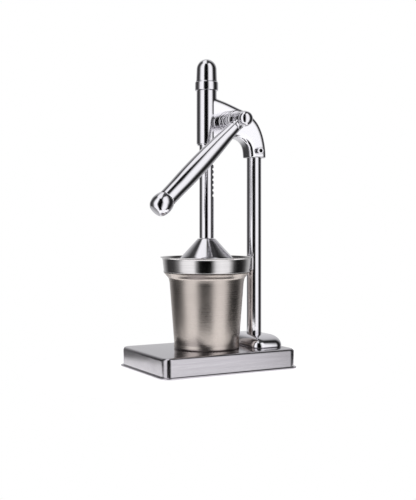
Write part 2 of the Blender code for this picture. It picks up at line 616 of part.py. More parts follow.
def make_cup(steel, perforated):
    axis = dict(origin=(ROD_X, 0, 0), segments=FINE)
    low = CUP_BOTTOM / MM
    outside = [(38.4, low), (39.3, low + 1.2), (39.2, low + 3.6), (38.8, low + 5),
               (44.4, 101.5), (45.6, 107), (48.4, 109.8), (50.6, 112.8), (51.6, 114),
               (51, CUP_RIM / MM)]
    inside = [(49.6, CUP_RIM / MM), (47.5, 110.6), (44.6, 107.6), (43.4, 101.6),
              (37.8, low + 5), (36.6, low + 3.2)]
    turned("juice_cup", [(r * MM, z * MM) for r, z in (
        [(0, low + 2)] + [(36.4, low + 2), (36.8, low)] + outside + inside
        + [(0, low + 3.2)])], steel, **axis)

    seat = BOWL_SEAT / MM
    band = [(49, seat), (51.2, seat), (52, seat + 0.7), (51.4, seat + 1.6), (52.8, 130.6),
            (54.2, 132.2), (55.6, 132.6), (55.6, BOWL_LIP / MM), (53.6, BOWL_LIP / MM),
            (51.8, 131), (50.5, seat + 2), (50, seat + 1)]
    floor = [(47.4, seat + 1), (46.2, 111.6), (33, 109.6), (29.4, 108.2), (29.4, 107.2),
             (33, 108.4), (47, 110.5)]
    turned("strainer_bowl", [(r * MM, z * MM) for r, z in band + floor + [(48.4, seat - 0.4)]],
           steel, **axis)

    cone = turned("strainer_cone", [(r * MM, z * MM) for r, z in (
        (34, 110.4), (34, 111.4), (29, 110.6), (27.6, 112), (19, 126), (10.4, 138.6), (6, 142),
        (0, 143.4), (0, 142.4), (5.4, 141), (9.4, 138), (18, 125.5), (26.4, 111.6),
        (28, 109.3))], perforated, **axis)
    slant = math.atan2(14, 8.6)
    holes = []
    for row, (radius, height) in enumerate(((24.2, 117.6), (18, 127.4))):
        for i in range(CONE_HOLES):
            a = 2 * math.pi * (i + row / 2) / CONE_HOLES
            out = Vector((math.cos(a), math.sin(a), 0))
            spot = Vector((ROD_X, 0, height * MM)) + out * radius * MM
            direction = out * math.sin(slant) + Vector((0, 0, math.cos(slant)))
            holes.append(rod(f"cut_juice_hole_{row}_{i}", 1.5 * MM, -3 * MM, 3 * MM,
                             origin=spot, direction=direction, segments=6))
    cut(cone, *holes)


def centre_on_origin(size_from):
    """Move everything so that the box round these pieces is centred on the Z axis."""
    bpy.context.view_layer.update()
    corners = [obj.matrix_world @ vertex.co for obj in size_from for vertex in obj.data.vertices]
    for axis in (0, 1):
        values = [corner[axis] for corner in corners]
        middle = (min(values) + max(values)) / 2
        for obj in bpy.data.objects:
            obj.location[axis] -= middle


def main():
    for obj in list(bpy.data.objects):
        bpy.data.objects.remove(obj, do_unlink=True)
    chrome = material("chrome", (0.78, 0.77, 0.8), 0.07, 1)
    base_chrome = material("base_chrome", (0.66, 0.64, 0.67), 0.22, 1)
    steel = material("plain_steel", (0.5, 0.5, 0.52), 0.35, 1)
    stainless = material("brushed_stainless", (0.62, 0.57, 0.53), 0.3, 1)
    brass = material("brass", (0.72, 0.55, 0.28), 0.3, 1)
    rubber = material("rubber", (0.03, 0.03, 0.03), 0.7, 0)

    make_base(base_chrome, steel, rubber)
    cross_hole = make_column(chrome, steel)
    make_head(chrome, steel, brass, cross_hole)
    make_lever(chrome, steel, *make_pinion(steel))
    make_rack(chrome, steel)
    make_cup(stainless, stainless)
    centre_on_origin([bpy.data.objects[name] for name in
                      ("base_shell", "lever_knob", "hub_cap_nut")])


main()
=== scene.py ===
import json
import math

import bmesh
import bpy
from bpy.props import FloatProperty, FloatVectorProperty, PointerProperty
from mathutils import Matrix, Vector


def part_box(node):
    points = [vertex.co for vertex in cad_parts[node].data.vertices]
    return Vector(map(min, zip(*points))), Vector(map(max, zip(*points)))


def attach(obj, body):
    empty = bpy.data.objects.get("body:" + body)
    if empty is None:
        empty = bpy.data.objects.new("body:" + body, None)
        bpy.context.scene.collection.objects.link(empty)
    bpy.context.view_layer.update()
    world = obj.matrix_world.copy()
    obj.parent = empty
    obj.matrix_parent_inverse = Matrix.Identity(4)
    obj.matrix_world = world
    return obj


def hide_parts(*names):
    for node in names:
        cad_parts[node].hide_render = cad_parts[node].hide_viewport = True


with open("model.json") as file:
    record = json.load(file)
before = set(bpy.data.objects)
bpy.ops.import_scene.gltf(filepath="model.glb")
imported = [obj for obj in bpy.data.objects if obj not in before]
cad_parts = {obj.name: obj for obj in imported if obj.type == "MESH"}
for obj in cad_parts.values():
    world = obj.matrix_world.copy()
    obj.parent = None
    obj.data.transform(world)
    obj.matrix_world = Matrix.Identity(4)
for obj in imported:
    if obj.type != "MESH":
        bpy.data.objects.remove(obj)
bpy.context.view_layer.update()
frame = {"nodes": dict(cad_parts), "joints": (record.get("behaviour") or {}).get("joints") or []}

bl_info = {
    "name": "Hand Citrus Press",
    "version": (1, 0, 0),
    "blender": (4, 5, 0),
    "location": "3D View > Sidebar > Press",
    "description": "Builds the polished and brushed skins of a hand citrus press round its frame",
    "category": "Object",
}

MM = 0.001
FINE, ROUND, SMALL = 160, 96, 40          # sides of large, middling and small turned work
GAP = 0.3 * MM                            # clearance between pieces that meet
SKIN = 0.15 * MM                          # how far a crisp skin stands outside its core
FAR = 80 * MM                             # longer than any bore that a tool cuts


# Measurements taken from the frame

def low(node):
    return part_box(node)[0]


def high(node):
    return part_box(node)[1]


def middle(node):
    return (low(node) + high(node)) / 2


def width(node, axis=0):
    return high(node)[axis] - low(node)[axis]


def joint(name):
    return next(j for j in frame["joints"] if j["name"] == name)


ROD_AXIS = Vector((middle("rod_cap").x, middle("rod_cap").y, 0))
PINION_AXIS = Vector(joint("lever_turn")["pos_m"])
HUB_HALF = 7.4 * MM                        # half the length of the lever's hub
HUB_CENTRE = Vector((middle("hub_cap_nut").x, high("hub_cap_nut").y + HUB_HALF + GAP,
                     middle("hub_cap_nut").z))
COLUMN_AXIS = Vector((middle("column_tube").x, middle("column_tube").y, 0))
LEVER_REST = math.radians(224)             # the lever's direction at rest, from +X towards +Z
LEVER_WAY = Vector((math.cos(LEVER_REST), 0, math.sin(LEVER_REST)))
SHAFT_BORE, CHAMBER, CHAMBER_HALF = 7.5 * MM, 16.6 * MM, 7.5 * MM   # round the pinion
COVER_SCREWS = ("cover_screw_1", "cover_screw_2", "cover_screw_3")
BASE_TOP = high("base_shell").z
UP, FRONT_TO_BACK = Vector((0, 0, 1)), Vector((0, 1, 0))


# Sizes and colours that a user may change

def length(label, words, default):
    return FloatProperty(name=label, description=words, default=default, min=0.0001, max=0.5,
                         unit='LENGTH', precision=5)


def colour(label, words, default):
    return FloatVectorProperty(name=label, description=words, default=default, size=3, min=0,
                               max=1, subtype='COLOR')


class PressSizes(bpy.types.PropertyGroup):
    """Sizes of the press."""
    corner: length("Base corner", "Radius of the base's corners seen from above", 0.013)
    edge_round: length("Base edge", "Rounding of the base's top edge", 0.0035)
    flange: length("Base flange", "How far the flange stands out from the base's sides", 0.003)
    column: length("Column", "Radius of the upright tube", width("column_tube") / 2)
    sleeve: length("Sleeve", "Outside radius of the sleeve that guides the rod", 0.0121)
    barrel: length("Barrel", "Outside radius of the barrel round the lever's shaft", 0.0126)
    arm_half: length("Arm", "Half the thickness of the cast arm", 0.0116)
    arm_round: length("Arm edge", "Rounding along the arm's edges", 0.0062)
    rod: length("Rod", "Radius of the toothed rod", 0.00875)
    cap: length("Cap", "Radius of the cap's band", width("rod_cap") / 2)
    grip_near: length("Lever, hub end", "Radius of the lever's tube next to the hub", 0.007)
    grip_belly: length("Lever, belly", "Radius of the lever's tube where it swells", 0.011)
    grip_far: length("Lever, neck", "Radius of the lever's tube next to the knob", 0.0102)
    knob: length("Knob", "Radius of the knob at the end of the lever", 0.0124)
    hub: length("Hub", "Radius of the lever's hub", 0.009)
    bell: length("Bell", "Radius of the bell's rim", width("press_bell") / 2)
    cup_foot: length("Cup foot", "Radius of the juice cup just above its foot", 0.0388)
    cup_rim: length("Cup rim", "Radius of the juice cup's rim", width("juice_cup") / 2)
    bowl_lip: length("Bowl lip", "Radius of the strainer bowl's lip",
                     width("strainer_bowl") / 2)


class PressColours(bpy.types.PropertyGroup):
    """Colours of the press and of its setting."""
    chrome: colour("Chrome", "Polished chrome plate", (0.86, 0.85, 0.88))
    casting: colour("Casting", "Polished and plated casting", (0.93, 0.92, 0.95))
    base_chrome: colour("Base plate", "Satin chrome of the base", (0.55, 0.53, 0.56))
    stainless: colour("Stainless", "Brushed stainless of the juice cup", (0.58, 0.52, 0.48))
    bowl_steel: colour("Bowl", "Bright stainless of the strainer", (0.74, 0.72, 0.72))
    steel: colour("Steel", "Zinc-plated screws, shaft and gear", (0.55, 0.55, 0.58))
    brass: colour("Brass", "Turned bushes", (0.72, 0.52, 0.24))
    # the rubber colour of the feet, also used as the painted shade inside the cross bolt's key
    # recess
    rubber_and_recess_shade: colour("Rubber", "Moulded feet", (0.022, 0.022, 0.024))
    floor: colour("Floor", "Pale floor", (0.93, 0.93, 0.93))


def sizes():
    return bpy.context.scene.press_sizes


def colours():
    return bpy.context.scene.press_colours


# Meshes

def new_object(name, bm, sharp=34, origin=(0, 0, 0)):
    bmesh.ops.recalc_face_normals(bm, faces=bm.faces)
    mesh = bpy.data.meshes.new(name)
    bm.to_mesh(mesh)
    bm.free()
    mesh.shade_smooth()
    mesh.set_sharp_from_angle(angle=math.radians(sharp))
    obj = bpy.data.objects.new(name, mesh)
    bpy.context.scene.collection.objects.link(obj)
    obj.location = origin
    return obj


def bridge(bm, ring_a, ring_b):
    count = max(len(ring_a), len(ring_b))
    for i in range(count):
        j = (i + 1) % count
        corners = [ring_a[i % len(ring_a)], ring_a[j % len(ring_a)],
                   ring_b[j % len(ring_b)], ring_b[i % len(ring_b)]]
        bm.faces.new(list(dict.fromkeys(corners)))


def soften(points, radius, steps=4):
    """Round the corners of a closed (radius, height) outline. Points on the axis stay."""
    out = []
    count = len(points)
    for i, here in enumerate(points):
        p, a, b = Vector(here), Vector(points[i - 1]), Vector(points[(i + 1) % count])
        if p.x < 1e-6 or (a - p).length < 1e-7 or (b - p).length < 1e-7:
            out.append(tuple(p))
            continue
        turn = (p - a).angle(b - p, 0)
        if turn < math.radians(4):
            out.append(tuple(p))
            continue
        start = p + (a - p).normalized() * min(radius, (a - p).length * 0.45)
        end = p + (b - p).normalized() * min(radius, (b - p).length * 0.45)
        for k in range(steps + 1):
            t = k / steps
            out.append(tuple(start * (1 - t) ** 2 + p * 2 * t * (1 - t) + end * t * t))
    return out


def curve_through(points, steps=6):
    """Catmull-Rom curve through the points."""
    ends = [points[0], *points, points[-1]]
    curve = []
    for p0, p1, p2, p3 in zip(ends, ends[1:], ends[2:], ends[3:]):
        for i in range(steps):
            t = i / steps
            curve.append(tuple(
                b + t * (c - a) / 2 + t * t * (a - 2.5 * b + 2 * c - d / 2)
                + t ** 3 * (-a + 3 * b - 3 * c + d) / 2
                for a, b, c, d in zip(p0, p1, p2, p3)))
    curve.append(points[-1])
    return curve


def turned(name, profile, origin=(0, 0, 0), direction=UP, sides=ROUND, sharp=34, start=0):
    """Spin a closed (radius, height) outline round an axis through the origin."""
    bm = bmesh.new()
    turn = UP.rotation_difference(Vector(direction)).to_matrix()
    rings = []
    for radius, height in profile:
        ring = []
        for i in range(sides if radius > 1e-6 else 1):
            a = 2 * math.pi * i / sides + start
            ring.append(bm.verts.new(turn @ Vector((radius * math.cos(a),
                                                    radius * math.sin(a), height))))
        rings.append(ring)
    for ring_a, ring_b in zip(rings, rings[1:] + rings[:1]):
        if len(ring_a) > 1 or len(ring_b) > 1:
            bridge(bm, ring_a, ring_b)
    return new_object(name, bm, sharp, origin)


def lofted(name, rings, origin=(0, 0, 0), sharp=34):
    bm = bmesh.new()
    loops = [[bm.verts.new(p) for p in ring] for ring in rings]
    for loop_a, loop_b in zip(loops, loops[1:]):
        bridge(bm, loop_a, loop_b)
    bm.faces.new(loops[0])
    bm.faces.new(loops[-1])
    return new_object(name, bm, sharp, origin)


def rounded_ring(half_x, half_y, corner, z, steps=12):
    points = []
    for k, (sx, sy) in enumerate(((1, 1), (-1, 1), (-1, -1), (1, -1))):
        for i in range(steps + 1):
            a = math.pi / 2 * (k + i / steps)
            points.append((sx * (half_x - corner) + corner * math.cos(a),
                           sy * (half_y - corner) + corner * math.sin(a), z))
    return points


def quarter_turn(steps):
    """Sine and cosine at even steps through a right angle."""
    angles = [math.pi / 2 * k / steps for k in range(steps + 1)]
    return [(math.sin(a), math.cos(a)) for a in angles]


def rod(name, radius, start, end, origin=(0, 0, 0), direction=UP, sides=SMALL):
    return turned(name, [(0, start), (radius, start), (radius, end), (0, end)], origin,
                  direction, sides)


def apply_step(obj, kind, **settings):
    """Add one modifier, apply it and leave a plain mesh."""
    step = obj.modifiers.new(kind.title(), kind)
    for key, value in settings.items():
        setattr(step, key, value)
    bpy.context.view_layer.update()
    solid = bpy.data.meshes.new_from_object(
        obj.evaluated_get(bpy.context.evaluated_depsgraph_get()))
    obj.modifiers.clear()
    old = obj.data
    obj.data = solid
    bpy.data.meshes.remove(old)


def combine(obj, tools, operation):
    group = bpy.data.collections.new(f"tools for {obj.name}")
    for tool in tools:
        group.objects.link(tool)
    apply_step(obj, 'BOOLEAN', operation=operation, operand_type='COLLECTION',
               collection=group, solver='EXACT')
    for tool in tools:
        bpy.data.objects.remove(tool)
    bpy.data.collections.remove(group)


def smooth(obj, sharp=34):
    obj.data.shade_smooth()
    obj.data.set_sharp_from_angle(angle=math.radians(sharp))


def fit(obj, body, slot, finish, *nodes):
    """Give a piece its finish and hang it on its body in place of the plain nodes."""
    obj.data.materials.clear()
    obj.data.materials.append(finish)
    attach(obj, body)
    if nodes:
        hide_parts(*nodes)
    return obj


def refinish(finish, *nodes):
    for node in nodes:
        mesh = frame["nodes"][node].data
        mesh.materials.clear()
        mesh.materials.append(finish)
        mesh.shade_smooth()
        mesh.set_sharp_from_angle(angle=math.radians(30))


# Finishes

class Tree:
    """Short way to add and wire shader nodes."""

    def __init__(self, name):
        self.mat = bpy.data.materials.new(name)
        self.mat.use_nodes = True
        self.tree = self.mat.node_tree
        self.shader = self.tree.nodes["Principled BSDF"]

    def add(self, kind, **settings):
        node = self.tree.nodes.new(kind)
        for key, value in settings.items():
            if key in node.inputs:
                node.inputs[key].default_value = value
            else:
                setattr(node, key, value)
        return node

    def join(self, source, target):
        self.tree.links.new(source, target)

    def stretched(self, scale):
        coordinates = self.add("ShaderNodeTexCoord")
        mapping = self.add("ShaderNodeMapping")
        mapping.inputs["Scale"].default_value = scale
        self.join(coordinates.outputs["Object"], mapping.inputs["Vector"])
        return mapping.outputs["Vector"]

    def noise(self, vector, scale=1.0, detail=3.0, roughness=0.5):
        node = self.add("ShaderNodeTexNoise")
        node.inputs["Scale"].default_value = scale
        node.inputs["Detail"].default_value = detail
        node.inputs["Roughness"].default_value = roughness
        self.join(vector, node.inputs["Vector"])
        return node.outputs["Fac"]

    def spread(self, value, low_out, high_out, low_in=0.3, high_in=0.7):
        node = self.add("ShaderNodeMapRange")
        for key, number in (("From Min", low_in), ("From Max", high_in),
                            ("To Min", low_out), ("To Max", high_out)):
            node.inputs[key].default_value = number
        self.join(value, node.inputs["Value"])
        return node.outputs["Result"]

    def total(self, first, second, operation='ADD'):
        node = self.add("ShaderNodeMath", operation=operation)
        self.join(first, node.inputs[0])
        self.join(second, node.inputs[1])
        return node.outputs[0]

    def tint(self, value, dark, light):
        ramp = self.add("ShaderNodeValToRGB")
        ramp.color_ramp.elements[0].position = 0.3
        ramp.color_ramp.elements[1].position = 0.7
        ramp.color_ramp.elements[0].color = (*dark, 1)
        ramp.color_ramp.elements[1].color = (*light, 1)
        self.join(value, ramp.inputs["Fac"])
        self.join(ramp.outputs["Color"], self.shader.inputs["Base Color"])

    def relief(self, value, strength, distance):
        bump = self.add("ShaderNodeBump")
        bump.inputs["Strength"].default_value = strength
        bump.inputs["Distance"].default_value = distance
        self.join(value, bump.inputs["Height"])
        self.join(bump.outputs["Normal"], self.shader.inputs["Normal"])


def darker(rgb, share):
    return tuple(channel * share for channel in rgb)


def polished(name, rgb, rough, wear=0.05, ripple=0.02):
    """Plated metal: cloudy smears, hairline polish marks and a faint ripple."""
    mat = bpy.data.materials.get(name)
    if mat:
        return mat
    t = Tree(name)
    t.shader.inputs["Metallic"].default_value = 1
    space = t.stretched((1, 1, 1))
    smears = t.noise(space, 28, 4, 0.6)
    hairs = t.noise(t.stretched((140, 140, 1900)), 1, 2, 0.7)
    t.tint(smears, darker(rgb, 0.94), rgb)
    cloudy = t.spread(smears, rough, rough + wear)
    t.join(t.total(cloudy, t.spread(hairs, 0, wear * 0.6)), t.shader.inputs["Roughness"])
    t.relief(t.total(t.noise(space, 60, 2), t.spread(hairs, 0, 0.15)), ripple, 0.2 * MM)
    return t.mat


def brushed(name, rgb, rough, scale, relief=0.12, anisotropy=0.0, sway=0.86):
    """Brushed sheet: fine lines along one way, uneven sheen and a few deeper scratches."""
    mat = bpy.data.materials.get(name)
    if mat:
        return mat
    t = Tree(name)
    t.shader.inputs["Metallic"].default_value = 1
    t.shader.inputs["Anisotropic"].default_value = anisotropy
    if anisotropy:
        tangent = t.add("ShaderNodeTangent", direction_type='RADIAL', axis='Z')
        t.join(tangent.outputs["Tangent"], t.shader.inputs["Tangent"])
    fine = t.noise(t.stretched(scale), 1, 3, 0.75)
    coarse = t.noise(t.stretched([s * 0.22 for s in scale]), 1, 2, 0.6)
    patches = t.noise(t.stretched((1, 1, 1)), 22, 3, 0.55)
    lines = t.total(fine, coarse, 'MULTIPLY')
    t.tint(t.spread(lines, 0.3, 0.7, 0.12, 0.4), darker(rgb, sway), rgb)
    t.join(t.total(t.spread(patches, rough - 0.04, rough + 0.05), t.spread(fine, 0, 0.06)),
           t.shader.inputs["Roughness"])
    t.relief(lines, relief, 0.1 * MM)
    return t.mat


def moulded(name, rgb):
    """Moulded rubber with a dusty bloom."""
    mat = bpy.data.materials.get(name)
    if mat:
        return mat
    t = Tree(name)
    space = t.stretched((1, 1, 1))
    grain = t.noise(space, 900, 4, 0.7)
    bloom = t.noise(space, 90, 3, 0.5)
    t.tint(bloom, rgb, tuple(channel + 0.02 for channel in rgb))
    t.join(t.spread(grain, 0.55, 0.8), t.shader.inputs["Roughness"])
    t.relief(grain, 0.3, 0.1 * MM)
    return t.mat


def chrome():
    return polished("polished_chrome", colours().chrome, 0.045)


def cast_chrome():
    return polished("cast_chrome", colours().casting, 0.09, 0.06, 0.05)


def base_satin():
    return brushed("base_satin", colours().base_chrome, 0.11, (30, 1400, 1400), 0.04)


def cup_brushed():
    return brushed("cup_brushed", colours().stainless, 0.25, (24, 24, 4200), 0.05, 0.3, 0.93)


def bowl_bright():
    return brushed("bowl_bright", colours().bowl_steel, 0.11, (16, 16, 1800), 0.05, 0.25)


def plain_steel():
    return brushed("plain_steel", colours().steel, 0.3, (500, 500, 500), 0.1)


# painted shade: a dark rubber finish that stands in for the shade inside the cross bolt's key
# recess
def recess_painted_shade():
    return moulded("recess_painted_shade", colours().rubber_and_recess_shade)


def turned_brass():
    return brushed("turned_brass", colours().brass, 0.26, (60, 60, 1500), 0.1)


def foot_rubber():
    return moulded("foot_rubber", colours().rubber_and_recess_shade)


# Pieces

def base_piece():
    s = sizes()
    spot = middle("base_shell")
    half_x = width("base_shell") / 2 - s.flange
    half_y = width("base_shell", 1) / 2 - s.flange
    bottom, wall, least_corner = low("base_shell").z, 1.5 * MM, 0.6 * MM
    flange_thick, lip, fillet = 2 * MM, 0.7 * MM, 0.9 * MM

    def ring(inset, z):
        return rounded_ring(half_x - inset, half_y - inset,
                            max(s.corner - s.flange - inset, least_corner), z)

    inner_top = BASE_TOP - wall
    flange_top = bottom + flange_thick
    rings = [ring(wall + s.edge_round / 2, inner_top),
             ring(wall, inner_top - s.edge_round / 2), ring(wall, bottom),
             ring(0.3 * MM - s.flange, bottom), ring(-s.flange, bottom + 0.3 * MM)]
    rings += [ring(lip * (1 - cosine) - s.flange, flange_top - lip * (1 - sine))
              for sine, cosine in quarter_turn(4)]
    rings += [ring(-fillet * (1 - sine), flange_top + fillet * (1 - cosine))
              for sine, cosine in quarter_turn(4)]
    rings += [ring(s.edge_round * (1 - cosine), BASE_TOP - s.edge_round * (1 - sine))
              for sine, cosine in quarter_turn(8)]
    shell = lofted("base_shell_skin", rings, (spot.x, spot.y, 0), sharp=40)
    fit(shell, "frame", "base_chrome", base_satin(), "base_shell")


def column_pieces():
    s = sizes()
    inside = s.column - 1.7 * MM
    foot, end = low("column_tube").z, high("column_tube").z
    tube = turned("column_tube_skin", soften([
        (inside, foot), (s.column, foot), (s.column, end), (inside, end)], 0.3 * MM),
        COLUMN_AXIS)
    fit(tube, "frame", "polished_chrome", chrome(), "column_tube")

    spot = middle("column_saddle")
    half_x, half_y = width("column_saddle") / 2, width("column_saddle", 1) / 2
    bottom, top = low("column_saddle").z, high("column_saddle").z
    side_top, seat = BASE_TOP + 1.5 * MM, BASE_TOP + 5 * MM
    rise, corner, edge = top - side_top, 13 * MM, 0.4 * MM
    lean_x, lean_y = 0.8, 2.2              # how much faster than it rises the dome draws in
    rings = [rounded_ring(half_x - edge, half_y - edge, corner - edge, bottom),
             rounded_ring(half_x, half_y, corner, bottom + 0.5 * MM)]
    for sine, cosine in quarter_turn(12):
        inset = rise * lean_x * (1 - cosine)
        rings.append(rounded_ring(half_x - inset, half_y - lean_y * inset, corner - inset,
                                  side_top + rise * sine))
    saddle = lofted("column_saddle_skin", rings, (spot.x, spot.y, 0), sharp=50)
    combine(saddle, [
        rod("socket", s.column + GAP, seat, top + FAR, COLUMN_AXIS, sides=ROUND),
        rod("tie_hole", 4.3 * MM, bottom - 5 * MM, top, COLUMN_AXIS)], 'DIFFERENCE')
    smooth(saddle, 42)
    fit(saddle, "frame", "polished_chrome", chrome(), "column_saddle")


def inset_outline(points, distance):
    moved = []
    for before, here, after in zip(points[-1:] + points, points, points[1:] + points[:1]):
        d1 = (Vector(here) - Vector(before)).normalized()
        d2 = (Vector(after) - Vector(here)).normalized()
        n1, n2 = Vector((d1.y, -d1.x)), Vector((d2.y, -d2.x))
        moved.append(tuple(Vector(here) + (n1 + n2) * distance / (1 + n1.dot(n2))))
    return moved


def head_pieces():
    s = sizes()
    shift = ROD_AXIS.x + 2 * MM            # the outline is drawn with the rod at -2 mm
    bottom = low("head_casting").z
    outer = curve_through([(x * MM, z * MM) for x, z in (
        (1, 324.4), (18, 320), (36, 313.8), (52, 307.5), (64, 297.8), (71, 286),
        (74.8, 274), (76.6, 263), (77, bottom / MM))], 4)
    inner = curve_through([(x * MM, z * MM) for x, z in (
        (52.8, bottom / MM), (52, 263), (49, 270), (43, 275), (34, 276.5), (24, 274),
        (14, 271.4), (1, 269.6))], 4)
    outline = [(-6 * MM, outer[0][1] + MM)] + outer + inner + [(-6 * MM, inner[-1][1])]
    floor_points = [z - bottom < 0.1 * MM for x, z in outline]
    rings, steps = [], 6
    for i in range(-steps, steps + 2):
        a = math.pi / 2 * (abs(i) if i < 1 else i - 1) / steps
        inset = s.arm_round * (1 - math.cos(a))
        y = s.arm_half - s.arm_round * (1 - math.sin(a))
        rings.append([(x, -y if i < 1 else y, bottom + inset / 5 if on_floor else z)
                      for (x, z), on_floor in zip(inset_outline(outline, inset),
                                                  floor_points)])
    arm = lofted("head_arm", rings, (shift, ROD_AXIS.y, 0))

    sleeve_low, sleeve_top = 268 * MM, high("head_casting").z
    front = low("head_casting").y - PINION_AXIS.y
    combine(arm, [
        rod("core_sleeve", s.sleeve - SKIN, sleeve_low + MM, sleeve_top - 2 * MM, ROD_AXIS,
            sides=ROUND),
        rod("core_barrel", s.barrel - SKIN, -22 * MM, -2 * MM, PINION_AXIS, FRONT_TO_BACK,
            ROUND)], 'UNION')
    apply_step(arm, 'REMESH', mode='VOXEL', voxel_size=0.75 * MM)
    apply_step(arm, 'SMOOTH', factor=0.5, iterations=9)
    bore, cover, cover_face = 10.4 * MM, 22 * MM, low("gear_cover").y - PINION_AXIS.y
    combine(arm, [
        rod("rod_bore", bore, sleeve_low - FAR, sleeve_top + FAR, ROD_AXIS, sides=ROUND),
        rod("shaft_bore", SHAFT_BORE, -FAR, MM, PINION_AXIS, FRONT_TO_BACK),
        rod("cover_seat", cover + 0.4 * MM, 11.2 * MM, FAR, PINION_AXIS, FRONT_TO_BACK, ROUND),
        rod("gear_chamber", CHAMBER, -CHAMBER_HALF, FAR, PINION_AXIS, FRONT_TO_BACK, ROUND),
        rod("column_socket", s.column + GAP, bottom - FAR, high("column_tube").z + GAP,
            COLUMN_AXIS, sides=ROUND)], 'DIFFERENCE')
    smooth(arm, 48)
    fit(arm, "frame", "polished_chrome", cast_chrome(), "head_casting")

    sleeve = turned("head_sleeve", soften([
        (bore, sleeve_low), (s.sleeve, sleeve_low), (s.sleeve, sleeve_top),
        (bore, sleeve_top)], 0.6 * MM), ROD_AXIS)
    combine(sleeve, [rod("rack_window", CHAMBER, -CHAMBER_HALF, CHAMBER_HALF, PINION_AXIS,
                         FRONT_TO_BACK, ROUND)], 'DIFFERENCE')
    smooth(sleeve)
    fit(sleeve, "frame", "polished_chrome", chrome(), "head_casting")

    root, grooves, step, radius = -9 * MM, (-17 * MM, -25 * MM, -33 * MM), 0.6 * MM, s.barrel
    outline = [(SHAFT_BORE, root), (radius, root)]
    for y in grooves:
        outline += [(radius, y), (radius - step, y - step * 0.7),
                    (radius - step, y - step * 1.5), (radius - step / 2, y - step * 2.2)]
        radius -= step / 2
    outline += [(radius, front + 1.2 * MM), (radius - 1.2 * MM, front), (SHAFT_BORE, front)]
    barrel = turned("head_barrel", soften(outline, 0.35 * MM, 3), PINION_AXIS, FRONT_TO_BACK)
    fit(barrel, "frame", "polished_chrome", chrome(), "head_casting")

    back = high("gear_cover").y - PINION_AXIS.y
    cover_back, pocket = cover_face + 2.5 * MM, cover_face + 5.5 * MM
    lid = turned("gear_cover_skin", soften([
        (0, back), (7 * MM, back), (8.8 * MM, back - 1.6 * MM), (9.4 * MM, cover_back),
        (cover, cover_back), (cover, cover_face), (SHAFT_BORE, cover_face),
        (SHAFT_BORE, pocket), (0, pocket)], 0.5 * MM), PINION_AXIS, FRONT_TO_BACK)
    combine(lid, [rod(f"hole_{name}", 1.5 * MM, -FAR / 2, FAR / 2, middle(name), FRONT_TO_BACK)
                  for name in COVER_SCREWS], 'DIFFERENCE')
    smooth(lid)
    fit(lid, "frame", "polished_chrome", chrome(), "gear_cover")


def fastener_pieces():
    for name in COVER_SCREWS:
        spot, top = middle(name), high(name).y - middle(name).y
        foot = low(name).y - middle(name).y
        shank, head, under_head, recess = 1.2 * MM, 2.3 * MM, top - 1.5 * MM, top - 0.7 * MM
        screw = turned(f"{name}_skin", soften([
            (0, foot), (shank, foot), (shank, under_head), (head, under_head),
            (head, top - 0.6 * MM), (1.5 * MM, top), (0, top)], 0.2 * MM), spot,
            FRONT_TO_BACK, SMALL)
        combine(screw, [rod("key_recess", 1.5 * MM, recess, top + MM, spot, FRONT_TO_BACK, 6)],
                'DIFFERENCE')
        smooth(screw)
        fit(screw, "frame", "plain_steel", plain_steel(), name)

    spot = middle("cross_bolt")
    face, end = low("cross_bolt").y - spot.y, high("cross_bolt").y - spot.y
    shank, head, key, head_depth, key_depth = 2.5 * MM, 4.5 * MM, 2.6 * MM, 4.4 * MM, 2.4 * MM
    bolt = turned("cross_bolt_skin", soften([
        (0, face), (head, face), (head, face + head_depth), (shank, face + head_depth),
        (shank, end), (0, end)], 0.6 * MM), spot, FRONT_TO_BACK, SMALL)
    combine(bolt, [rod("key_recess", key, face - MM, face + key_depth, spot, FRONT_TO_BACK, 6)],
            'DIFFERENCE')
    smooth(bolt)
    fit(bolt, "frame", "polished_chrome", chrome(), "cross_bolt")
    # painted shade: the walls of the key recess take the dark rubber finish in place of the shade
    # that falls inside the recess
    bolt.data.materials.append(recess_painted_shade())
    for wall in bolt.data.polygons:
        spread = Vector((wall.center.x, wall.center.z)).length
        if spread < key + 0.05 * MM and 0.05 * MM < wall.center.y - face < 3 * MM:
            wall.material_index = 1
    refinish(plain_steel(), "cross_nut", "base_channel", "bottom_plate", "column_plug",
             "column_bolt", "column_washer", "thrust_washer", "hub_pin", "bell_screw",
             "bell_washer", "pinion_gear", "pinion_shaft", "pinion_key",
             *[n for n in frame["nodes"] if n.startswith("plate_screw")])
    refinish(chrome(), "guide_bush_lower", "shaft_bush_front")
    refinish(turned_brass(), "guide_bush_upper", "shaft_bush_rear")
    refinish(foot_rubber(), *[n for n in frame["nodes"] if n.startswith("rubber_foot")])


